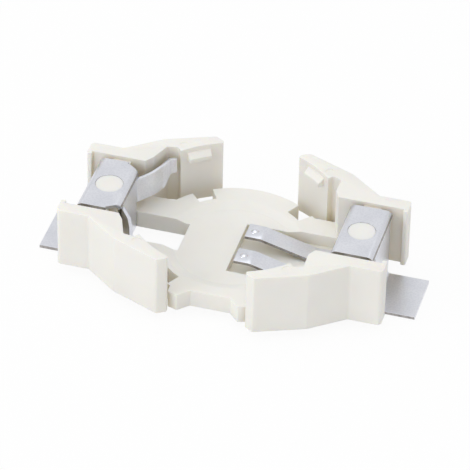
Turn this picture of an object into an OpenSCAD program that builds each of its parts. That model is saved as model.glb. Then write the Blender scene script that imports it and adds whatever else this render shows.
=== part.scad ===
// Surface-mount holder for one coin cell: a moulded housing and two pressed sheet contacts.
// The origin is on the board, under the centre of the cell. X runs from contact to contact.

/* [Coin cell] */
// Diameter of the coin cell that the pocket takes
cell_d = 12.5; // [12:0.1:12.8]
// Height of the coin cell
cell_h = 2.0; // [1.6:0.1:2.5]
// Gap between the cell's rim and the pocket wall
cell_gap = 0.15; // [0.05:0.05:0.25]
// Height left free between the cell and the nubs above it
cell_play = 0.05; // [0:0.05:0.2]

/* [Housing] */
// Length of the housing, from end block to end block
body_l = 20.4; // [20:0.1:22]
// Width of the housing across the wings
body_w = 12.94; // [12.8:0.02:14]
// Width of an end block
block_w = 7.2; // [7:0.1:7.8]
// Distance from the centre to the shoulder, where an end block turns into a wing
shoulder_x = 8.15; // [7.9:0.05:8.6]
// Distance from the centre to the bend in a wing's outer face
elbow_x = 6.05; // [5.8:0.05:6.3]
// Distance from the centre line to that bend
elbow_y = 5.22; // [5.1:0.02:5.5]
// Opening between the two wing tips on one side
mouth_w = 4.9; // [4:0.1:5.6]
// Thickness of an end block's side wall
wall_t = 0.87; // [0.7:0.01:1]
// Height of a wing's rim above the cell
rim_h = 0.88; // [0.7:0.02:1.2]
// Gap between the solder tab and the underside of the housing
standoff = 0.3; // [0.1:0.05:0.6]

/* [Floor] */
// Thickness of the floor that carries the cell's rim
floor_t = 1.17; // [1:0.01:1.5]
// Radius of the floor plate
floor_r = 5.64; // [5.2:0.02:5.8]
// Radius of the shallow dish in the floor
dish_r = 4.36; // [4:0.02:4.5]
// Depth of the dish
dish_h = 0.22; // [0.1:0.01:0.3]
// Width of the dish's sloped edge
dish_slope = 0.65; // [0.3:0.05:0.8]
// Distance from the centre line to the flat front edge of the floor
front_y = 5.15; // [5:0.05:5.4]
// Width of the flat front edge
front_w = 2.5; // [2:0.1:3]
// How far the two front feet reach past the flat front edge
foot_l = 0.65; // [0.3:0.05:0.8]
// Half width of the left arm, which joins the floor to the left block
left_arm = 3.13; // [3:0.01:3.4]
// Half width of the right arm
right_arm = 3.93; // [3.5:0.01:4]

/* [Retaining nubs] */
// How far a nub stands out over the cell's rim
nub_reach = 0.25; // [0.15:0.01:0.35]
// Height of a nub
nub_h = 0.55; // [0.3:0.05:0.6]
// Angle from the Y axis to the near end of a nub and of the window below it
nub_a0 = 29.5; // [28:0.5:31]
// Angle from the Y axis to their far end
nub_a1 = 43; // [40:0.5:45]
// Inner radius of the window below a nub
window_r = 4.66; // [4.5:0.02:5]

/* [Openings for the contacts] */
// Distance from the centre to the near end of the left opening
slot_x = 3.19; // [2.8:0.05:3.6]
// Distance from the centre to the near end of the right channel
channel_x = 0.19; // [0:0.05:0.4]
// Width of the right channel
channel_w = 4.78; // [4.6:0.02:5]
// Thickness of the skin below the right channel
skin_t = 0.35; // [0.25:0.05:0.5]

/* [Contacts] */
// Thickness of the contact sheet
sheet_t = 0.2; // [0.15:0.01:0.25]
// Length over the two solder tabs
tabs_l = 23.8; // [22.8:0.1:26]
// Width of a solder tab and of the outer leg
tab_w = 3.7; // [3:0.1:4]
// Distance from the centre to the outer face of an outer leg
leg_x = 9.3; // [9.2:0.05:9.5]
// Length of a contact's top plate, with both bends
plate_l = 2.68; // [2.5:0.02:3]
// Width of the top plate
plate_w = 4.9; // [4.6:0.05:5.2]
// Size of the plate's cut corners
plate_cut = 0.6; // [0.3:0.05:0.8]
// Diameter of the hole in the top plate
plate_hole = 1.8; // [1.2:0.05:1.9]
// How far the top plate lies below the top of the walls
plate_drop = 0.08; // [0.02:0.01:0.2]
// Radius of the bends at the inner side of the sheet
bend_r = 0.2; // [0.1:0.01:0.25]

/* [Positive contact] */
// Width of the inner leg
plus_leg_w = 2.6; // [2.2:0.1:2.6]
// Height of a side spring
blade_h = 1.7; // [1.3:0.1:1.9]

/* [Negative contact] */
// Width of the inner leg
minus_leg_w = 4.6; // [4.2:0.1:4.6]
// Width of one spring finger
finger_w = 1.3; // [1:0.05:1.4]
// Distance between the middles of the two fingers
finger_pitch = 2.5; // [2.3:0.05:2.8]
// Distance from the centre to the end of a finger
finger_end = 0.5; // [0.4:0.05:1]
// Length of the level end of a finger
finger_pad = 1; // [0.8:0.05:1.3]
// Height of the fingers' ends above the floor that carries the cell
finger_rise = 0.26; // [0.1:0.02:0.5]
// Angle at which a finger rises
finger_angle = 15; // [12:1:20]
// Diameter of the dimple near the end of a finger
dimple_d = 0.48; // [0.3:0.02:0.6]
// Height of the dimple
dimple_h = 0.1; // [0.05:0.01:0.12]

/* [Hidden] */
ivory = [0.94, 0.93, 0.89];
tin = [0.80, 0.81, 0.86];
$fn = 96;
arc_steps = 6;
fit = 0.05;
eps = 0.01;

pocket_r = cell_d / 2 + cell_gap;
nub_r = cell_d / 2 - nub_reach;
z_base = sheet_t + standoff;
z_floor = z_base + floor_t;
z_dish = z_floor - dish_h;
z_skin = z_base + skin_t;
z_nub = z_floor + cell_h + cell_play;
z_top = z_nub + rim_h;
z_plate = z_top - plate_drop;
z_blade = z_plate - sheet_t - bend_r - fit;
end_x = body_l / 2;
wall_y = block_w / 2 - wall_t;
lip_y = wall_y - 0.25;
lip_l = 0.3;
bend_mid = bend_r + sheet_t / 2;
rib_l = 1.1;
boss_drop = 0.02;
leg_in_x = leg_x - plate_l;
plate_x = leg_x - plate_l / 2;
post_in_x = leg_in_x + sheet_t + fit;
post_out_x = leg_x - sheet_t - fit;
fork_w = finger_pitch + finger_w;
z_pad = z_floor + finger_rise;

// Point at the angle a from the X axis and the distance d outside the cell's rim.
function rim(a, d) = (cell_d / 2 + d) * [cos(a), sin(a)];

function unit(v) = v / norm(v);

// Points of a round corner of radius r at b, between the neighbours a and c.
function corner(a, b, c, r) =
    let (u = unit(a - b), v = unit(c - b), half = acos(u * v) / 2,
        mid = b + unit(u + v) * r / sin(half), start = b + u * r / tan(half) - mid,
        turn = sign(cross(b - a, c - b)), step = turn * (180 - 2 * half) / arc_steps,
        a0 = atan2(start.y, start.x))
    [for (i = [0:arc_steps]) mid + r * [cos(a0 + i * step), sin(a0 + i * step)]];

// Closed outline with round corners, from points given as [x, y, radius].
function rounded(p) =
    let (n = len(p), q = [for (k = p) [k.x, k.y]])
    [for (i = [0:n - 1]) each p[i].z > 0 ? corner(q[(i + n - 1) % n], q[i], q[(i + 1) % n], p[i].z) : [q[i]]];

// One side of a strip, at the distance d to the left of its middle line.
function side(p, d) =
    let (last = len(p) - 1, q = [for (k = p) [k.x, k.y]],
        dir = [for (i = [0:last - 1]) unit(q[i + 1] - q[i])],
        left = [for (k = dir) [-k.y, k.x]],
        off = [for (i = [0:last]) q[i] + d * (i == 0 ? left[0] : i == last ? left[last - 1]
            : (left[i - 1] + left[i]) / (1 + left[i - 1] * left[i]))])
    [for (i = [0:last]) each i == 0 || i == last ? [off[i]]
        : corner(off[i - 1], off[i], off[i + 1], p[i].z - d * sign(cross(dir[i - 1], dir[i])))];

// Outline of a sheet bent along a middle line given as [x, y, bend radius].
function strip(p) =
    let (back = side(p, -sheet_t / 2), n = len(back))
    concat(side(p, sheet_t / 2), [for (i = [1:n]) back[n - i]]);

module mirrored(axis) {
    children();
    mirror(axis) children();
}

module slab(z0, z1) {
    translate([0, 0, z0]) linear_extrude(z1 - z0) children();
}

// Rectangle from x0 to x1, reaching half_w to both sides of the X axis.
module bar(x0, x1, half_w) {
    translate([x0, -half_w]) square([x1 - x0, 2 * half_w]);
}

// Sheet bent along p in the XZ plane, w wide across Y.
module bent(p, w) {
    rotate([90, 0, 0]) linear_extrude(w, center = true) polygon(strip(p));
}

// Housing

// Wing and side wall of one end block, in the quarter where X and Y are positive.
module wing_plan() {
    difference() {
        polygon(rounded([
            [end_x - lip_l, wall_y, 0], [end_x - lip_l, lip_y, 0.05], [end_x, lip_y, 0.1],
            [end_x, block_w / 2, 0.25], [shoulder_x, block_w / 2, 0.3], [elbow_x, elbow_y, 0.4],
            [mouth_w / 2 + 0.55, body_w / 2, 0.25], [mouth_w / 2, body_w / 2 - 0.35, 0.2],
            [mouth_w / 2, wall_y, 0]]));
        circle(pocket_r);
    }
}

// Recess between the wing and the right block, open towards the cell.
module plain_recess_plan() {
    polygon(rounded([concat(rim(42.5, 0), 0), concat(rim(43.3, 0.55), 0.15), concat(rim(38.7, 0.86), 0.2),
        concat(rim(30.2, 0.11), 0), concat(rim(30.2, -0.3), 0)]));
}

// The same on the left, with room for a side spring.
module spring_recess_plan() {
    polygon(rounded([concat(rim(42.5, 0), 0), concat(rim(43.3, 0.55), 0.15), concat(rim(39, 1.01), 0.2),
        concat(rim(28, 0.69), 0.3), [leg_in_x - 0.12, wall_y, 0], [leg_in_x - 1.6, wall_y, 0]]));
}

module window_plan() {
    difference() {
        polygon([[0, 0], 2 * pocket_r * [sin(nub_a0), cos(nub_a0)], 2 * pocket_r * [sin(nub_a1), cos(nub_a1)]]);
        circle(window_r);
    }
}

module floor_plan() {
    difference() {
        union() {
            circle(floor_r);
            bar(-post_out_x, 0, left_arm);
            bar(0, elbow_x, right_arm);
            bar(0, post_out_x, wall_y + eps);
        }
        mirrored([1, 0]) mirrored([0, 1]) window_plan();
        translate([-front_w, -floor_r - 1]) square([2 * front_w, floor_r + 1 - front_y]);
    }
    mirrored([1, 0]) foot_plan();
}

module foot_plan() {
    polygon(rounded([[front_w / 2, -front_y, 0], [front_w / 2 + foot_l, -front_y - foot_l, 0.1],
        [front_w / 2 + 1.3, -front_y - foot_l + 0.2, 0.15], [front_w / 2 + 1.3, 0.4 - front_y, 0],
        [front_w / 2, 0.4 - front_y, 0]]));
}

// Post between the side walls of an end block. A contact folds over it, and its boss fills the hole.
module post() {
    z_seat = z_plate - sheet_t;
    rotate([90, 0, 0]) linear_extrude(plate_w - 2 * plate_cut, center = true)
        polygon(rounded([[post_in_x, z_base, 0], [post_in_x, z_seat, bend_r + fit],
            [post_out_x, z_seat, bend_r + fit], [post_out_x, z_base, 0]]));
    slab(z_base, z_seat) bar(plate_x - rib_l / 2, plate_x + rib_l / 2, wall_y + eps);
    translate([plate_x, 0, z_base]) cylinder(h = z_plate - z_base - boss_drop, d = plate_hole - 2 * fit);
}

module nub() {
    rotate([0, 0, 90 - nub_a1]) rotate_extrude(angle = nub_a1 - nub_a0)
        polygon([[nub_r, z_nub], [pocket_r + fit, z_nub], [pocket_r + fit, z_nub + nub_h],
            [pocket_r - fit, z_nub + nub_h], [nub_r, z_nub + nub_h / 2]]);
}

module wings() {
    mirrored([0, 1, 0]) {
        slab(z_base, z_top) difference() {
            wing_plan();
            plain_recess_plan();
        }
        mirror([1, 0, 0]) slab(z_base, z_top) difference() {
            wing_plan();
            spring_recess_plan();
        }
        mirrored([1, 0, 0]) nub();
    }
}

module housing() {
    color(ivory) difference() {
        union() {
            slab(z_base, z_floor) floor_plan();
            wings();
            mirrored([1, 0, 0]) post();
        }
        translate([0, 0, z_dish]) cylinder(h = dish_h + eps, r1 = dish_r - dish_slope, r2 = dish_r);
        slab(z_base - eps, z_floor + eps) bar(-post_in_x, -slot_x, plus_leg_w / 2 + fit);
        slab(z_skin, z_floor + eps) bar(channel_x, post_in_x, channel_w / 2);
    }
}

// Contacts, both drawn at the right end

module plate_plan(inner_cut) {
    x0 = leg_in_x + sheet_t + bend_r;
    x1 = leg_x - sheet_t - bend_r;
    y1 = plate_w / 2;
    polygon([[x0, -y1 + inner_cut], [x0 + inner_cut, -y1], [x1 - plate_cut, -y1], [x1, -y1 + plate_cut],
        [x1, y1 - plate_cut], [x1 - plate_cut, y1], [x0 + inner_cut, y1], [x0, y1 - inner_cut]]);
}

// Solder tab, outer leg and the top plate with its hole.
module clip(inner_cut, inner_w) {
    z_mid = z_plate - sheet_t / 2;
    difference() {
        union() {
            bent([[tabs_l / 2, sheet_t / 2, 0], [leg_x - sheet_t / 2, sheet_t / 2, bend_mid],
                [leg_x - sheet_t / 2, z_mid, bend_mid], [plate_x, z_mid, 0]], tab_w);
            slab(z_plate - sheet_t, z_plate) plate_plan(inner_cut);
            bent([[plate_x, z_mid, 0], [leg_in_x + sheet_t / 2, z_mid, bend_mid],
                [leg_in_x + sheet_t / 2, z_skin + 1, 0]], inner_w);
        }
        translate([plate_x, 0, 0]) cylinder(h = z_top, d = plate_hole);
    }
}

// Spring that leaves the inner leg sideways and bears on the cell's rim.
module side_spring() {
    x = leg_in_x + sheet_t / 2;
    z0 = z_blade - blade_h;
    difference() {
        slab(z0, z_blade) polygon(strip([[x, plus_leg_w / 2 - 0.4, 0], [x, plus_leg_w / 2 + 0.1, 0.3],
            concat(rim(22, 0.16), 0.8), concat(rim(30, 0.19), 0.8), concat(rim(37.2, 0.42), 0.2),
            concat(rim(40.5, 0.22), 0)]));
        rotate([90, 0, 90]) linear_extrude(cell_d)
            polygon([[3.3, z0 - eps], [4.6, z0 - eps], [4.6, z0 + 1.2]]);
    }
}

module positive_contact() {
    color(tin) mirror([1, 0, 0]) {
        clip(plate_cut, plus_leg_w);
        slab(z_base + fit, z_blade) bar(leg_in_x, leg_in_x + sheet_t, plus_leg_w / 2);
        mirrored([0, 1, 0]) side_spring();
    }
}

module dimple() {
    r = (dimple_d * dimple_d / 4 + dimple_h * dimple_h) / (2 * dimple_h);
    intersection() {
        translate([0, 0, dimple_h - r]) sphere(r);
        translate([0, 0, -fit]) cylinder(h = 1, d = dimple_d + 2 * fit);
    }
}

module negative_contact() {
    z_low = z_skin + sheet_t / 2;
    z_high = z_pad - sheet_t / 2;
    knee_x = finger_end + finger_pad;
    root_x = knee_x + (z_high - z_low) / tan(finger_angle);
    color(tin) {
        clip(0.15, minus_leg_w);
        difference() {
            bent([[leg_in_x + sheet_t / 2, z_skin + 1.5, 0], [leg_in_x + sheet_t / 2, z_low, bend_mid],
                [root_x, z_low, 1], [knee_x, z_high, 0.6], [finger_end, z_high, 0]], fork_w);
            slab(0, z_floor + 1) bar(0, leg_in_x - bend_r, (finger_pitch - finger_w) / 2);
        }
        mirrored([0, 1, 0]) translate([finger_end + finger_pad / 2, finger_pitch / 2, z_pad]) dimple();
    }
}

housing();
positive_contact();
negative_contact();
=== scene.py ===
import math

import bpy
from mathutils import Matrix, Vector


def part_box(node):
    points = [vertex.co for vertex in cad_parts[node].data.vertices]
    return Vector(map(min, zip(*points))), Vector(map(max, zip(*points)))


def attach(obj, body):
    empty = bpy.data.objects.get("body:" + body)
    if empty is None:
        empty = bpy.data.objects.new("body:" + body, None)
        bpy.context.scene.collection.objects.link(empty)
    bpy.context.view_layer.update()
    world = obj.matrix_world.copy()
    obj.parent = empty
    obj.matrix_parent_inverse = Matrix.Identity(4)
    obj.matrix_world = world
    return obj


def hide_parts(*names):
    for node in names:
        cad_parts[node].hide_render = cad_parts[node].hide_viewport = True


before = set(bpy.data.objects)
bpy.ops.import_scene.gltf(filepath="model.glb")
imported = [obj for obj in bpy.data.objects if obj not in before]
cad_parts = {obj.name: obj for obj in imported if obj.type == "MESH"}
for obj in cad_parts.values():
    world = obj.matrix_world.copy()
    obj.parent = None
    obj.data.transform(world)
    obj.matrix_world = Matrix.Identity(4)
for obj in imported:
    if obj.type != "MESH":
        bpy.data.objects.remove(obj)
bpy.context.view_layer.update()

MM = 0.001

# Contacts, in millimetres: faces of the outer and inner legs, sheet, and outer radius of a bend
LEG_OUT = 9.3
LEG_IN = 6.62
SHEET = 0.2
BEND = 0.4

# Top plates: width, radius of the hole, and size of the positive plate's cut corners
PLATE_WIDTH = 4.8
PLATE_HOLE = 0.86
CORNER_CUT = 0.62

# Finger domes: place from the centre, height of the finger, and the dome's width and height
DOME_X = 1.0
DOME_Y = 1.25
FINGER_TOP = 1.93
DOME_WIDTH = 0.5
DOME_HEIGHT = 0.11

# Ejector marks: place from the centre, radius and depth
MARK_X = 4.66
MARK_Y = 5.03
MARK_RADIUS = 0.3
MARK_DEPTH = 0.03

# Points closer together than this, in metres, count as one
FINE = 1e-7


# Modelling helpers

def only(obj):
    """Select one object and nothing else."""
    bpy.ops.object.select_all(action="DESELECT")
    obj.select_set(True)
    bpy.context.view_layer.objects.active = obj


def flatten(piece):
    """Keep large faces flat where they meet rounded edges."""
    weigh = piece.modifiers.new("Flat faces", "WEIGHTED_NORMAL")
    weigh.keep_sharp = True
    weigh.weight = 80
    bpy.ops.object.modifier_apply(modifier="Flat faces")


def rounded_copy(node, name, width, angle, smooth, segments):
    """Copy a CAD node, join its loose triangles and round its sharp edges."""
    only(bpy.data.objects[node])
    bpy.ops.object.duplicate()
    piece = bpy.context.active_object
    piece.name = name
    piece.modifiers.clear()
    only(piece)
    bpy.ops.object.mode_set(mode="EDIT")
    bpy.ops.mesh.select_all(action="SELECT")
    bpy.ops.mesh.remove_doubles(threshold=0.002 * MM)
    bpy.ops.mesh.dissolve_limited(angle_limit=math.radians(0.6))
    bpy.ops.object.mode_set(mode="OBJECT")
    bevel = piece.modifiers.new("Rounded edges", "BEVEL")
    bevel.width = width * MM
    bevel.segments = segments
    bevel.limit_method = "ANGLE"
    bevel.angle_limit = math.radians(angle)
    bevel.use_clamp_overlap = True
    bevel.miter_outer = "MITER_ARC"
    bpy.ops.object.modifier_apply(modifier="Rounded edges")
    bpy.ops.object.shade_smooth_by_angle(angle=math.radians(smooth))
    flatten(piece)
    return piece


def pick(obj, test):
    """Enter edit mode with only the points that pass the test selected."""
    bpy.ops.object.mode_set(mode="EDIT")
    bpy.ops.mesh.select_mode(type="VERT")
    bpy.ops.mesh.select_all(action="DESELECT")
    bpy.ops.object.mode_set(mode="OBJECT")
    for v in obj.data.vertices:
        v.select = test(v.co)
    bpy.ops.object.mode_set(mode="EDIT")


def cut_away(piece, tool):
    """Take the tool's shape out of the piece, and drop the tool."""
    only(piece)
    cut = piece.modifiers.new("Cut", "BOOLEAN")
    cut.operation = "DIFFERENCE"
    cut.solver = "EXACT"
    cut.object = tool
    bpy.ops.object.modifier_apply(modifier="Cut")
    bpy.data.objects.remove(tool)


def folded_plate(name, side, top, corner):
    """Top plate of a contact with its two bends, folded up from a strip; side is -1 or 1 along X."""
    bpy.ops.object.select_all(action="DESELECT")
    bpy.ops.mesh.primitive_plane_add(size=1, rotation=(0, math.pi / 2, 0))
    plate = bpy.context.active_object
    plate.name = name
    plate.dimensions = (0.01 * MM, PLATE_WIDTH * MM, 0)
    plate.location = (LEG_OUT * MM, 0, top - (BEND + 0.005) * MM)
    only(plate)
    bpy.ops.object.transform_apply(location=True, rotation=True, scale=True)
    high = max(v.co.z for v in plate.data.vertices)
    pick(plate, lambda co: co.z > high - FINE)
    bpy.ops.mesh.spin(steps=8, angle=math.pi / 2, axis=(0, 1, 0),
                      center=((LEG_OUT - BEND) * MM, 0, top - BEND * MM))
    flat = (LEG_OUT - LEG_IN - 2 * BEND) * MM
    bpy.ops.mesh.extrude_region_move(TRANSFORM_OT_translate={"value": (-flat, 0, 0)})
    bpy.ops.mesh.spin(steps=8, angle=math.pi / 2, axis=(0, 1, 0),
                      center=((LEG_IN + BEND) * MM, 0, top - BEND * MM))
    bpy.ops.mesh.select_all(action="SELECT")
    bpy.ops.mesh.remove_doubles(threshold=0.001 * MM)
    bpy.ops.mesh.normals_make_consistent(inside=False)
    bpy.ops.object.mode_set(mode="OBJECT")
    if max(plate.data.polygons, key=lambda f: f.area).normal.z < 0:
        plate.data.flip_normals()
    wall = plate.modifiers.new("Sheet", "SOLIDIFY")
    wall.thickness = SHEET * MM
    wall.offset = -1
    bpy.ops.object.modifier_apply(modifier="Sheet")
    middle = (LEG_OUT + LEG_IN) / 2 * MM
    bpy.ops.object.select_all(action="DESELECT")
    bpy.ops.mesh.primitive_cylinder_add(vertices=64, radius=PLATE_HOLE * MM, depth=2 * MM,
                                        location=(middle, 0, top))
    cut_away(plate, bpy.context.active_object)
    if corner:
        for y in (-1, 1):
            bpy.ops.object.select_all(action="DESELECT")
            bpy.ops.mesh.primitive_cube_add(size=1, location=(LEG_IN * MM, y * PLATE_WIDTH / 2 * MM, top),
                                            rotation=(0, 0, y * math.radians(33)),
                                            scale=(2.2 * corner * MM, 1.8 * corner * MM, 2 * MM))
            cut_away(plate, bpy.context.active_object)
    edge = plate.modifiers.new("Burr", "BEVEL")
    edge.width = 0.025 * MM
    edge.segments = 2
    edge.limit_method = "ANGLE"
    edge.angle_limit = math.radians(50)
    bpy.ops.object.modifier_apply(modifier="Burr")
    if side < 0:
        only(plate)
        plate.scale = (-1, 1, 1)
        bpy.ops.object.transform_apply(scale=True)
        bpy.ops.object.mode_set(mode="EDIT")
        bpy.ops.mesh.select_all(action="SELECT")
        bpy.ops.mesh.normals_make_consistent(inside=False)
        bpy.ops.object.mode_set(mode="OBJECT")
    bpy.ops.object.shade_smooth_by_angle(angle=math.radians(32))
    flatten(plate)
    return plate


def open_top(piece, top):
    """Cut the plain plate off a copied contact, where the folded plate goes, and close the legs."""
    only(piece)
    bpy.ops.object.mode_set(mode="EDIT")
    bpy.ops.mesh.select_all(action="SELECT")
    bpy.ops.mesh.bisect(plane_co=(0, 0, top - (BEND + 0.01) * MM), plane_no=(0, 0, 1),
                        clear_outer=True, use_fill=True, threshold=FINE)
    bpy.ops.object.mode_set(mode="OBJECT")
    bpy.ops.mesh.customdata_custom_splitnormals_clear()
    bpy.ops.object.shade_smooth_by_angle(angle=math.radians(30))
    flatten(piece)


def contact_dome(name, y):
    """Pressed dome near the end of a finger."""
    ball = (DOME_WIDTH * DOME_WIDTH / 4 + DOME_HEIGHT * DOME_HEIGHT) / (2 * DOME_HEIGHT)
    base = FINGER_TOP * MM
    bpy.ops.object.select_all(action="DESELECT")
    bpy.ops.mesh.primitive_uv_sphere_add(segments=48, ring_count=48, radius=ball * MM,
                                         location=(DOME_X * MM, y * MM, base + (DOME_HEIGHT - ball) * MM))
    dome = bpy.context.active_object
    dome.name = name
    only(dome)
    bpy.ops.object.transform_apply(location=True)
    bpy.ops.object.mode_set(mode="EDIT")
    bpy.ops.mesh.select_all(action="SELECT")
    bpy.ops.mesh.bisect(plane_co=(0, 0, base - 0.02 * MM), plane_no=(0, 0, 1),
                        clear_inner=True, use_fill=True, threshold=FINE)
    bpy.ops.object.mode_set(mode="OBJECT")
    bpy.ops.object.shade_smooth_by_angle(angle=math.radians(40))
    return dome


# Materials

def start_material(name):
    """New material: the material, its nodes and links, its shader and its Object coordinates."""
    mat = bpy.data.materials.new(name)
    mat.use_nodes = True
    nodes, links = mat.node_tree.nodes, mat.node_tree.links
    coords = nodes.new("ShaderNodeTexCoord")
    return mat, nodes, links, nodes["Principled BSDF"], coords.outputs["Object"]


def noise(nodes, links, coords, scale, detail, stretch=(1, 1, 1)):
    """Cloudy pattern in the piece's own space, from 0 to 1."""
    mapping = nodes.new("ShaderNodeMapping")
    mapping.inputs["Scale"].default_value = stretch
    links.new(coords, mapping.inputs["Vector"])
    tex = nodes.new("ShaderNodeTexNoise")
    tex.inputs["Scale"].default_value = scale
    tex.inputs["Detail"].default_value = detail
    links.new(mapping.outputs["Vector"], tex.inputs["Vector"])
    return tex.outputs["Fac"]


def two_tones(nodes, links, fac, low, high, dark, light):
    """Colour that runs from dark to light as the pattern goes from low to high."""
    ramp = nodes.new("ShaderNodeValToRGB")
    ramp.color_ramp.elements[0].position = low
    ramp.color_ramp.elements[1].position = high
    ramp.color_ramp.elements[0].color = (*dark, 1)
    ramp.color_ramp.elements[1].color = (*light, 1)
    links.new(fac, ramp.inputs["Fac"])
    return ramp.outputs["Color"]


def painted_gap_shade(nodes, links, tone, reach, low, high, shade):
    """Painted shade: blend a tone towards the darker colour that it takes deep in narrow gaps."""
    gap = nodes.new("ShaderNodeAmbientOcclusion")
    gap.samples = 8
    gap.inputs["Distance"].default_value = reach * MM
    amount = nodes.new("ShaderNodeMapRange")
    amount.inputs["From Min"].default_value = low
    amount.inputs["From Max"].default_value = high
    links.new(gap.outputs["AO"], amount.inputs["Value"])
    mix = nodes.new("ShaderNodeMix")
    mix.data_type = "RGBA"
    mix.inputs["A"].default_value = (*shade, 1)
    links.new(amount.outputs["Result"], mix.inputs["Factor"])
    links.new(tone, mix.inputs["B"])
    return mix.outputs["Result"]


def bump(nodes, links, height, strength, distance, normal=None):
    """Fine relief; distance is in millimetres."""
    node = nodes.new("ShaderNodeBump")
    node.inputs["Strength"].default_value = strength
    node.inputs["Distance"].default_value = distance * MM
    links.new(height, node.inputs["Height"])
    if normal is not None:
        links.new(normal, node.inputs["Normal"])
    return node.outputs["Normal"]


def moulded_nylon():
    """Matt ivory nylon with a fine spark-eroded grain."""
    mat, nodes, links, shader, coords = start_material("moulded_nylon")
    flow = noise(nodes, links, coords, 260, 3)
    tone = two_tones(nodes, links, flow, 0.35, 0.65, (0.85, 0.832, 0.782), (0.88, 0.862, 0.818))
    # Painted shade: warmer, darker nylon deep in gaps and corners.
    tone = painted_gap_shade(nodes, links, tone, 2.0, 0.05, 0.6, (0.83, 0.76, 0.61))
    links.new(tone, shader.inputs["Base Color"])
    grain = noise(nodes, links, coords, 14000, 2)
    ripple = noise(nodes, links, coords, 900, 2)
    waves = bump(nodes, links, ripple, 0.15, 0.02)
    links.new(bump(nodes, links, grain, 0.12, 0.01, waves), shader.inputs["Normal"])
    rough = nodes.new("ShaderNodeMapRange")
    rough.inputs["To Min"].default_value = 0.42
    rough.inputs["To Max"].default_value = 0.73
    links.new(ripple, rough.inputs["Value"])
    links.new(rough.outputs["Result"], shader.inputs["Roughness"])
    shader.inputs["Subsurface Weight"].default_value = 0.35
    shader.inputs["Subsurface Radius"].default_value = (1.0, 0.75, 0.4)
    shader.inputs["Subsurface Scale"].default_value = 0.45 * MM
    shader.inputs["IOR"].default_value = 1.5
    return mat


def plated_sheet(name, smooth, dull):
    """Tin-plated spring sheet with a faint rolling grain along its length."""
    mat, nodes, links, shader, coords = start_material(name)
    lines = noise(nodes, links, coords, 6000, 2, (1, 0.06, 1))
    cloud = noise(nodes, links, coords, 700, 3)
    tone = two_tones(nodes, links, cloud, 0.3, 0.7, (0.77, 0.785, 0.84), (0.83, 0.84, 0.885))
    speck = noise(nodes, links, coords, 9000, 2)
    fleck = nodes.new("ShaderNodeMix")
    fleck.data_type = "RGBA"
    fleck.blend_type = "MULTIPLY"
    fleck.inputs["Factor"].default_value = 1
    links.new(tone, fleck.inputs["A"])
    links.new(two_tones(nodes, links, speck, 0.36, 0.6, (0.93, 0.93, 0.94), (1, 1, 1)), fleck.inputs["B"])
    # Painted shade: dark brown metal deep in gaps and hollows.
    tone = painted_gap_shade(nodes, links, fleck.outputs["Result"], 0.8, 0.1, 0.42, (0.20, 0.17, 0.10))
    links.new(tone, shader.inputs["Base Color"])
    shader.inputs["Metallic"].default_value = 1
    rough = nodes.new("ShaderNodeMapRange")
    rough.inputs["To Min"].default_value = smooth
    rough.inputs["To Max"].default_value = dull
    links.new(cloud, rough.inputs["Value"])
    links.new(rough.outputs["Result"], shader.inputs["Roughness"])
    links.new(bump(nodes, links, lines, 0.2, 0.01), shader.inputs["Normal"])
    return mat


def unplated_edge_and_painted_shade():
    """Unplated metal where the plated strip was cut, made darker still as painted shade on sheet sides
    and folds.
    """
    mat, nodes, links, shader, coords = start_material("unplated_edge_and_painted_shade")
    drag = noise(nodes, links, coords, 4000, 2, (1, 1, 0.3))
    tone = two_tones(nodes, links, drag, 0.3, 0.7, (0.30, 0.28, 0.27), (0.48, 0.46, 0.45))
    links.new(tone, shader.inputs["Base Color"])
    shader.inputs["Metallic"].default_value = 1
    shader.inputs["Roughness"].default_value = 0.45
    links.new(bump(nodes, links, drag, 0.3, 0.01), shader.inputs["Normal"])
    return mat


def darken_sides_and_folds(piece, mat):
    """Give the sheared sides and the folds of a contact the dark unplated finish: cut metal with painted
    shade on the sides, plating wear with painted shade on the folds.
    """
    piece.data.materials.append(mat)
    top = max(v.co.z for v in piece.data.vertices)
    for face in piece.data.polygons:
        side = abs(face.normal.y) > 0.93 and abs(face.center.y) < 2.6 * MM
        # Tops of the folds: plating wear and painted shade.
        fold = abs(face.normal.x) > 0.78 and face.normal.z > 0.2 and face.center.z > top - BEND * MM
        if side or fold:
            face.material_index = 1


def ejector_marks(piece):
    """Sink the round marks of the ejector pins into the tops of the wings."""
    top = max(v.co.z for v in piece.data.vertices)
    for x in (-MARK_X, MARK_X):
        for y in (-MARK_Y, MARK_Y):
            bpy.ops.object.select_all(action="DESELECT")
            bpy.ops.mesh.primitive_cylinder_add(vertices=32, radius=MARK_RADIUS * MM, depth=0.2 * MM,
                                                location=(x * MM, y * MM, top + (0.1 - MARK_DEPTH) * MM))
            cut_away(piece, bpy.context.active_object)


def finish(piece, mat, node):
    """Give a piece its material, and let it stand for its CAD node."""
    piece.data.materials.clear()
    piece.data.materials.append(mat)
    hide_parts(node)
    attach(piece, "root")


nylon = moulded_nylon()
tin = plated_sheet("plated_sheet", 0.28, 0.4)
# Unplated cut metal, darkened as painted shade.
unplated_and_shaded = unplated_edge_and_painted_shade()
polished = plated_sheet("burnished_dome", 0.12, 0.2)

housing = rounded_copy("housing", "moulded_housing", 0.09, 16.5, 40, 3)
finish(housing, nylon, "housing")
ejector_marks(housing)

for node, name, side, corner in (("positive_contact", "plus", -1, CORNER_CUT),
                                 ("negative_contact", "minus", 1, 0)):
    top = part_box(node)[1][2]
    sheet = rounded_copy(node, name + "_contact_sheet", 0.02, 50, 30, 2)
    finish(sheet, tin, node)
    darken_sides_and_folds(sheet, unplated_and_shaded)
    open_top(sheet, top)
    plate = folded_plate(name + "_top_plate", side, top, corner)
    finish(plate, tin, node)
    darken_sides_and_folds(plate, unplated_and_shaded)

for name, y in (("front_dome", -DOME_Y), ("back_dome", DOME_Y)):
    dome = contact_dome(name, y)
    finish(dome, polished, "negative_contact")


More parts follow.
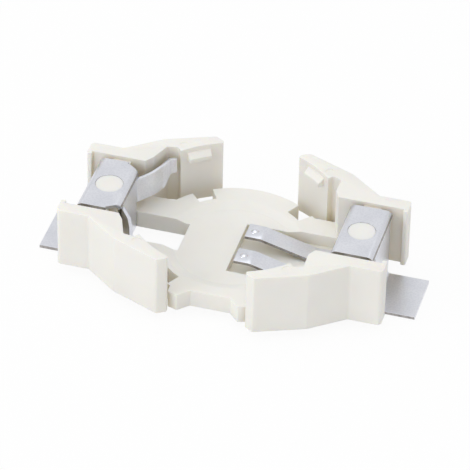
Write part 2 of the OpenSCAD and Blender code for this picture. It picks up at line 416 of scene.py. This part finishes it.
# Table, backdrop, lamps and camera

def seen_or_mirrored(nodes, links, path):
    """1 for a ray that the camera or a glossy surface sends out."""
    both = nodes.new("ShaderNodeMath")
    both.operation = "MAXIMUM"
    links.new(path.outputs["Is Camera Ray"], both.inputs[0])
    links.new(path.outputs["Is Glossy Ray"], both.inputs[1])
    return both.outputs["Value"]


def table():
    """White table that keeps a faint shadow."""
    bpy.ops.mesh.primitive_plane_add(size=1.6, location=(0, 0, -0.00002))
    top = bpy.context.active_object
    top.name = "table"
    mat, nodes, links, shader, _ = start_material("white_table")
    shader.inputs["Base Color"].default_value = (0.9, 0.9, 0.9, 1)
    shader.inputs["Roughness"].default_value = 0.9
    glow = nodes.new("ShaderNodeEmission")
    glow.inputs["Strength"].default_value = 1
    path = nodes.new("ShaderNodeLightPath")
    seen = nodes.new("ShaderNodeMath")
    seen.operation = "MULTIPLY"
    seen.inputs[1].default_value = 0.93
    links.new(seen_or_mirrored(nodes, links, path), seen.inputs[0])
    mix = nodes.new("ShaderNodeMixShader")
    links.new(seen.outputs["Value"], mix.inputs["Fac"])
    links.new(shader.outputs["BSDF"], mix.inputs[1])
    links.new(glow.outputs["Emission"], mix.inputs[2])
    links.new(mix.outputs["Shader"], nodes["Material Output"].inputs["Surface"])
    top.data.materials.append(mat)


def room():
    """Even soft light, with white behind the part and in its reflections."""
    world = bpy.data.worlds.new("studio")
    bpy.context.scene.world = world
    world.use_nodes = True
    nodes, links = world.node_tree.nodes, world.node_tree.links
    soft = nodes["Background"]
    soft.inputs["Color"].default_value = (1, 1, 1, 1)
    soft.inputs["Strength"].default_value = 0.73
    white = nodes.new("ShaderNodeBackground")
    white.inputs["Strength"].default_value = 1
    path = nodes.new("ShaderNodeLightPath")
    mix = nodes.new("ShaderNodeMixShader")
    links.new(seen_or_mirrored(nodes, links, path), mix.inputs["Fac"])
    links.new(soft.outputs["Background"], mix.inputs[1])
    links.new(white.outputs["Background"], mix.inputs[2])
    links.new(mix.outputs["Shader"], nodes["World Output"].inputs["Surface"])


def lamp(name, place, size, watts, tint):
    """Square soft lamp that points at the part."""
    light = bpy.data.lights.new(name, "AREA")
    light.shape = "SQUARE"
    light.size = size
    light.energy = watts
    light.color = tint
    obj = bpy.data.objects.new(name, light)
    bpy.context.collection.objects.link(obj)
    obj.location = place
    obj.rotation_euler = (Vector((0, 0, 0)) - Vector(place)).to_track_quat("-Z", "Y").to_euler()


def camera(azimuth, elevation, roll, distance, lens, shift):
    """Camera that looks at the origin from an angle and a distance in metres."""
    cam = bpy.data.cameras.new("camera")
    cam.lens = lens
    cam.sensor_width = 36
    cam.shift_x, cam.shift_y = shift
    cam.clip_start = 0.01
    cam.clip_end = 10
    obj = bpy.data.objects.new("camera", cam)
    bpy.context.collection.objects.link(obj)
    az, el = math.radians(azimuth), math.radians(elevation)
    place = distance * Vector((math.sin(az) * math.cos(el), -math.cos(az) * math.cos(el), math.sin(el)))
    turn = (-place).to_track_quat("-Z", "Y").to_matrix() @ Matrix.Rotation(math.radians(roll), 3, "Z")
    obj.matrix_world = Matrix.Translation(place) @ turn.to_4x4()
    bpy.context.scene.camera = obj


table()
room()
lamp("top_lamp", (-0.03, 0.02, 0.30), 0.25, 0.2, (0.95, 0.98, 1))
lamp("left_lamp", (-0.22, -0.20, 0.16), 0.2, 0.26, (0.96, 0.98, 1))
camera(15.31, 38.48, 1.21, 0.227, 283.4, (0.0034, 0.0643))
bpy.context.scene.view_settings.view_transform = "Standard"
